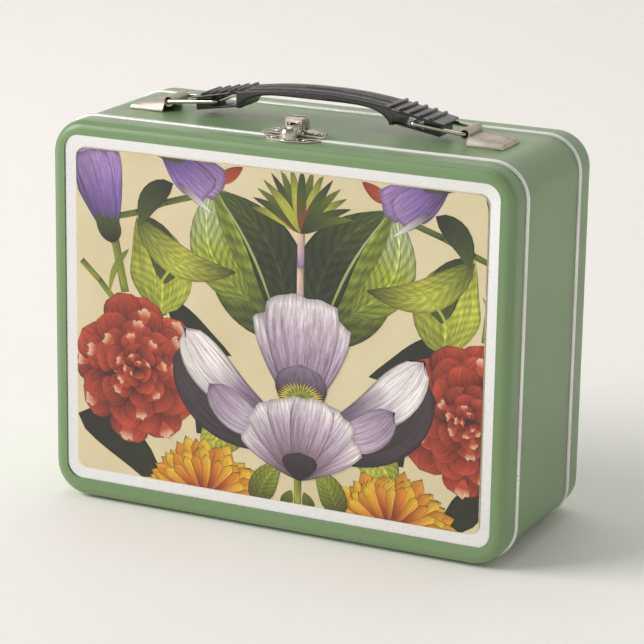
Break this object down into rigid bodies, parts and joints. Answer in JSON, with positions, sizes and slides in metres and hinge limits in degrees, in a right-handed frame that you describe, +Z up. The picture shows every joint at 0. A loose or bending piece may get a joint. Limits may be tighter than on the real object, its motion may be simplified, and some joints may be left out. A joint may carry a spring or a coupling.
{
  "type": "metal lunch box",
  "caption": "Sheet-metal lunch box with a bottom-hinged framed picture lid, a snap hasp on top and a folding plastic carry handle on wire links",
  "frame": {"origin": "the middle of the base, on the surface the box stands on", "axes": "+X is the box's right seen from the front, +Y is its back, +Z is up"},
  "size_m": [0.222, 0.092, 0.1912],
  "materials": {
    "green_paint": "satin sage-green enamel on tinplate",
    "bare_tin": "bare bright tinplate with a fine sparkle",
    "nickel": "bright nickel plate on pressed steel",
    "black_plastic": "satin moulded black plastic",
    "print": "glossy printed flower pattern on a thin metal sheet"
  },
  "bodies": {
    "body": {"body_band": "green_paint", "rear_shell": "green_paint", "front_bead": "bare_tin", "front_bead_bottom": "bare_tin", "rear_bead": "bare_tin", "left_hinge_body_leaf": "nickel", "left_hinge_pin": "nickel", "left_hinge_body_rivet_outer": "nickel", "left_hinge_body_rivet_inner": "nickel", "right_hinge_body_leaf": "nickel", "right_hinge_pin": "nickel", "right_hinge_body_rivet_outer": "nickel", "right_hinge_body_rivet_inner": "nickel", "latch_body_plate": "nickel", "latch_hasp_pin": "nickel", "latch_body_rivet_left": "nickel", "latch_body_rivet_right": "nickel", "left_handle_bracket": "nickel", "right_handle_bracket": "nickel"},
    "lid": {"lid_shell": "green_paint", "picture_tray": "bare_tin", "art_panel": "print", "left_hinge_lid_leaf": "nickel", "left_hinge_lid_rivet_outer": "nickel", "left_hinge_lid_rivet_inner": "nickel", "right_hinge_lid_leaf": "nickel", "right_hinge_lid_rivet_outer": "nickel", "right_hinge_lid_rivet_inner": "nickel", "latch_lid_plate": "nickel", "latch_lid_rivet_left": "nickel", "latch_lid_rivet_right": "nickel"},
    "hasp": {"latch_hasp": "nickel"},
    "handle": {"handle_grip": "black_plastic"},
    "left_link": {"left_handle_link": "nickel"},
    "right_link": {"right_handle_link": "nickel"}
  },
  "joints": [
    {"name": "lid_hinge", "type": "hinge", "parent": "body", "child": "lid", "pos_m": [0, -0.0324, 0.00115], "axis": [1, 0, 0], "range_deg": [0, 120]},
    {"name": "hasp_hinge", "type": "hinge", "parent": "body", "child": "hasp", "pos_m": [0.0022, -0.0267, 0.1797], "axis": [-1, 0, 0], "range_deg": [0, 85]},
    {"name": "handle_lift", "type": "slide", "parent": "body", "child": "handle", "axis": [0, 0, 1], "range_m": [0, 0.007]},
    {"name": "left_link_swing", "type": "hinge", "parent": "body", "child": "left_link", "pos_m": [-0.0714, -0.0015, 0.1798], "axis": [0, -1, 0], "range_deg": [0, 16]},
    {"name": "right_link_swing", "type": "hinge", "parent": "body", "child": "right_link", "pos_m": [0.0714, -0.0015, 0.1798], "axis": [0, 1, 0], "range_deg": [0, 16]}
  ],
  "couplings": [
    {"joint": "left_link_swing", "follows": "handle_lift", "rad_per_m": 39.75},
    {"joint": "right_link_swing", "follows": "handle_lift", "rad_per_m": 39.75}
  ]
}
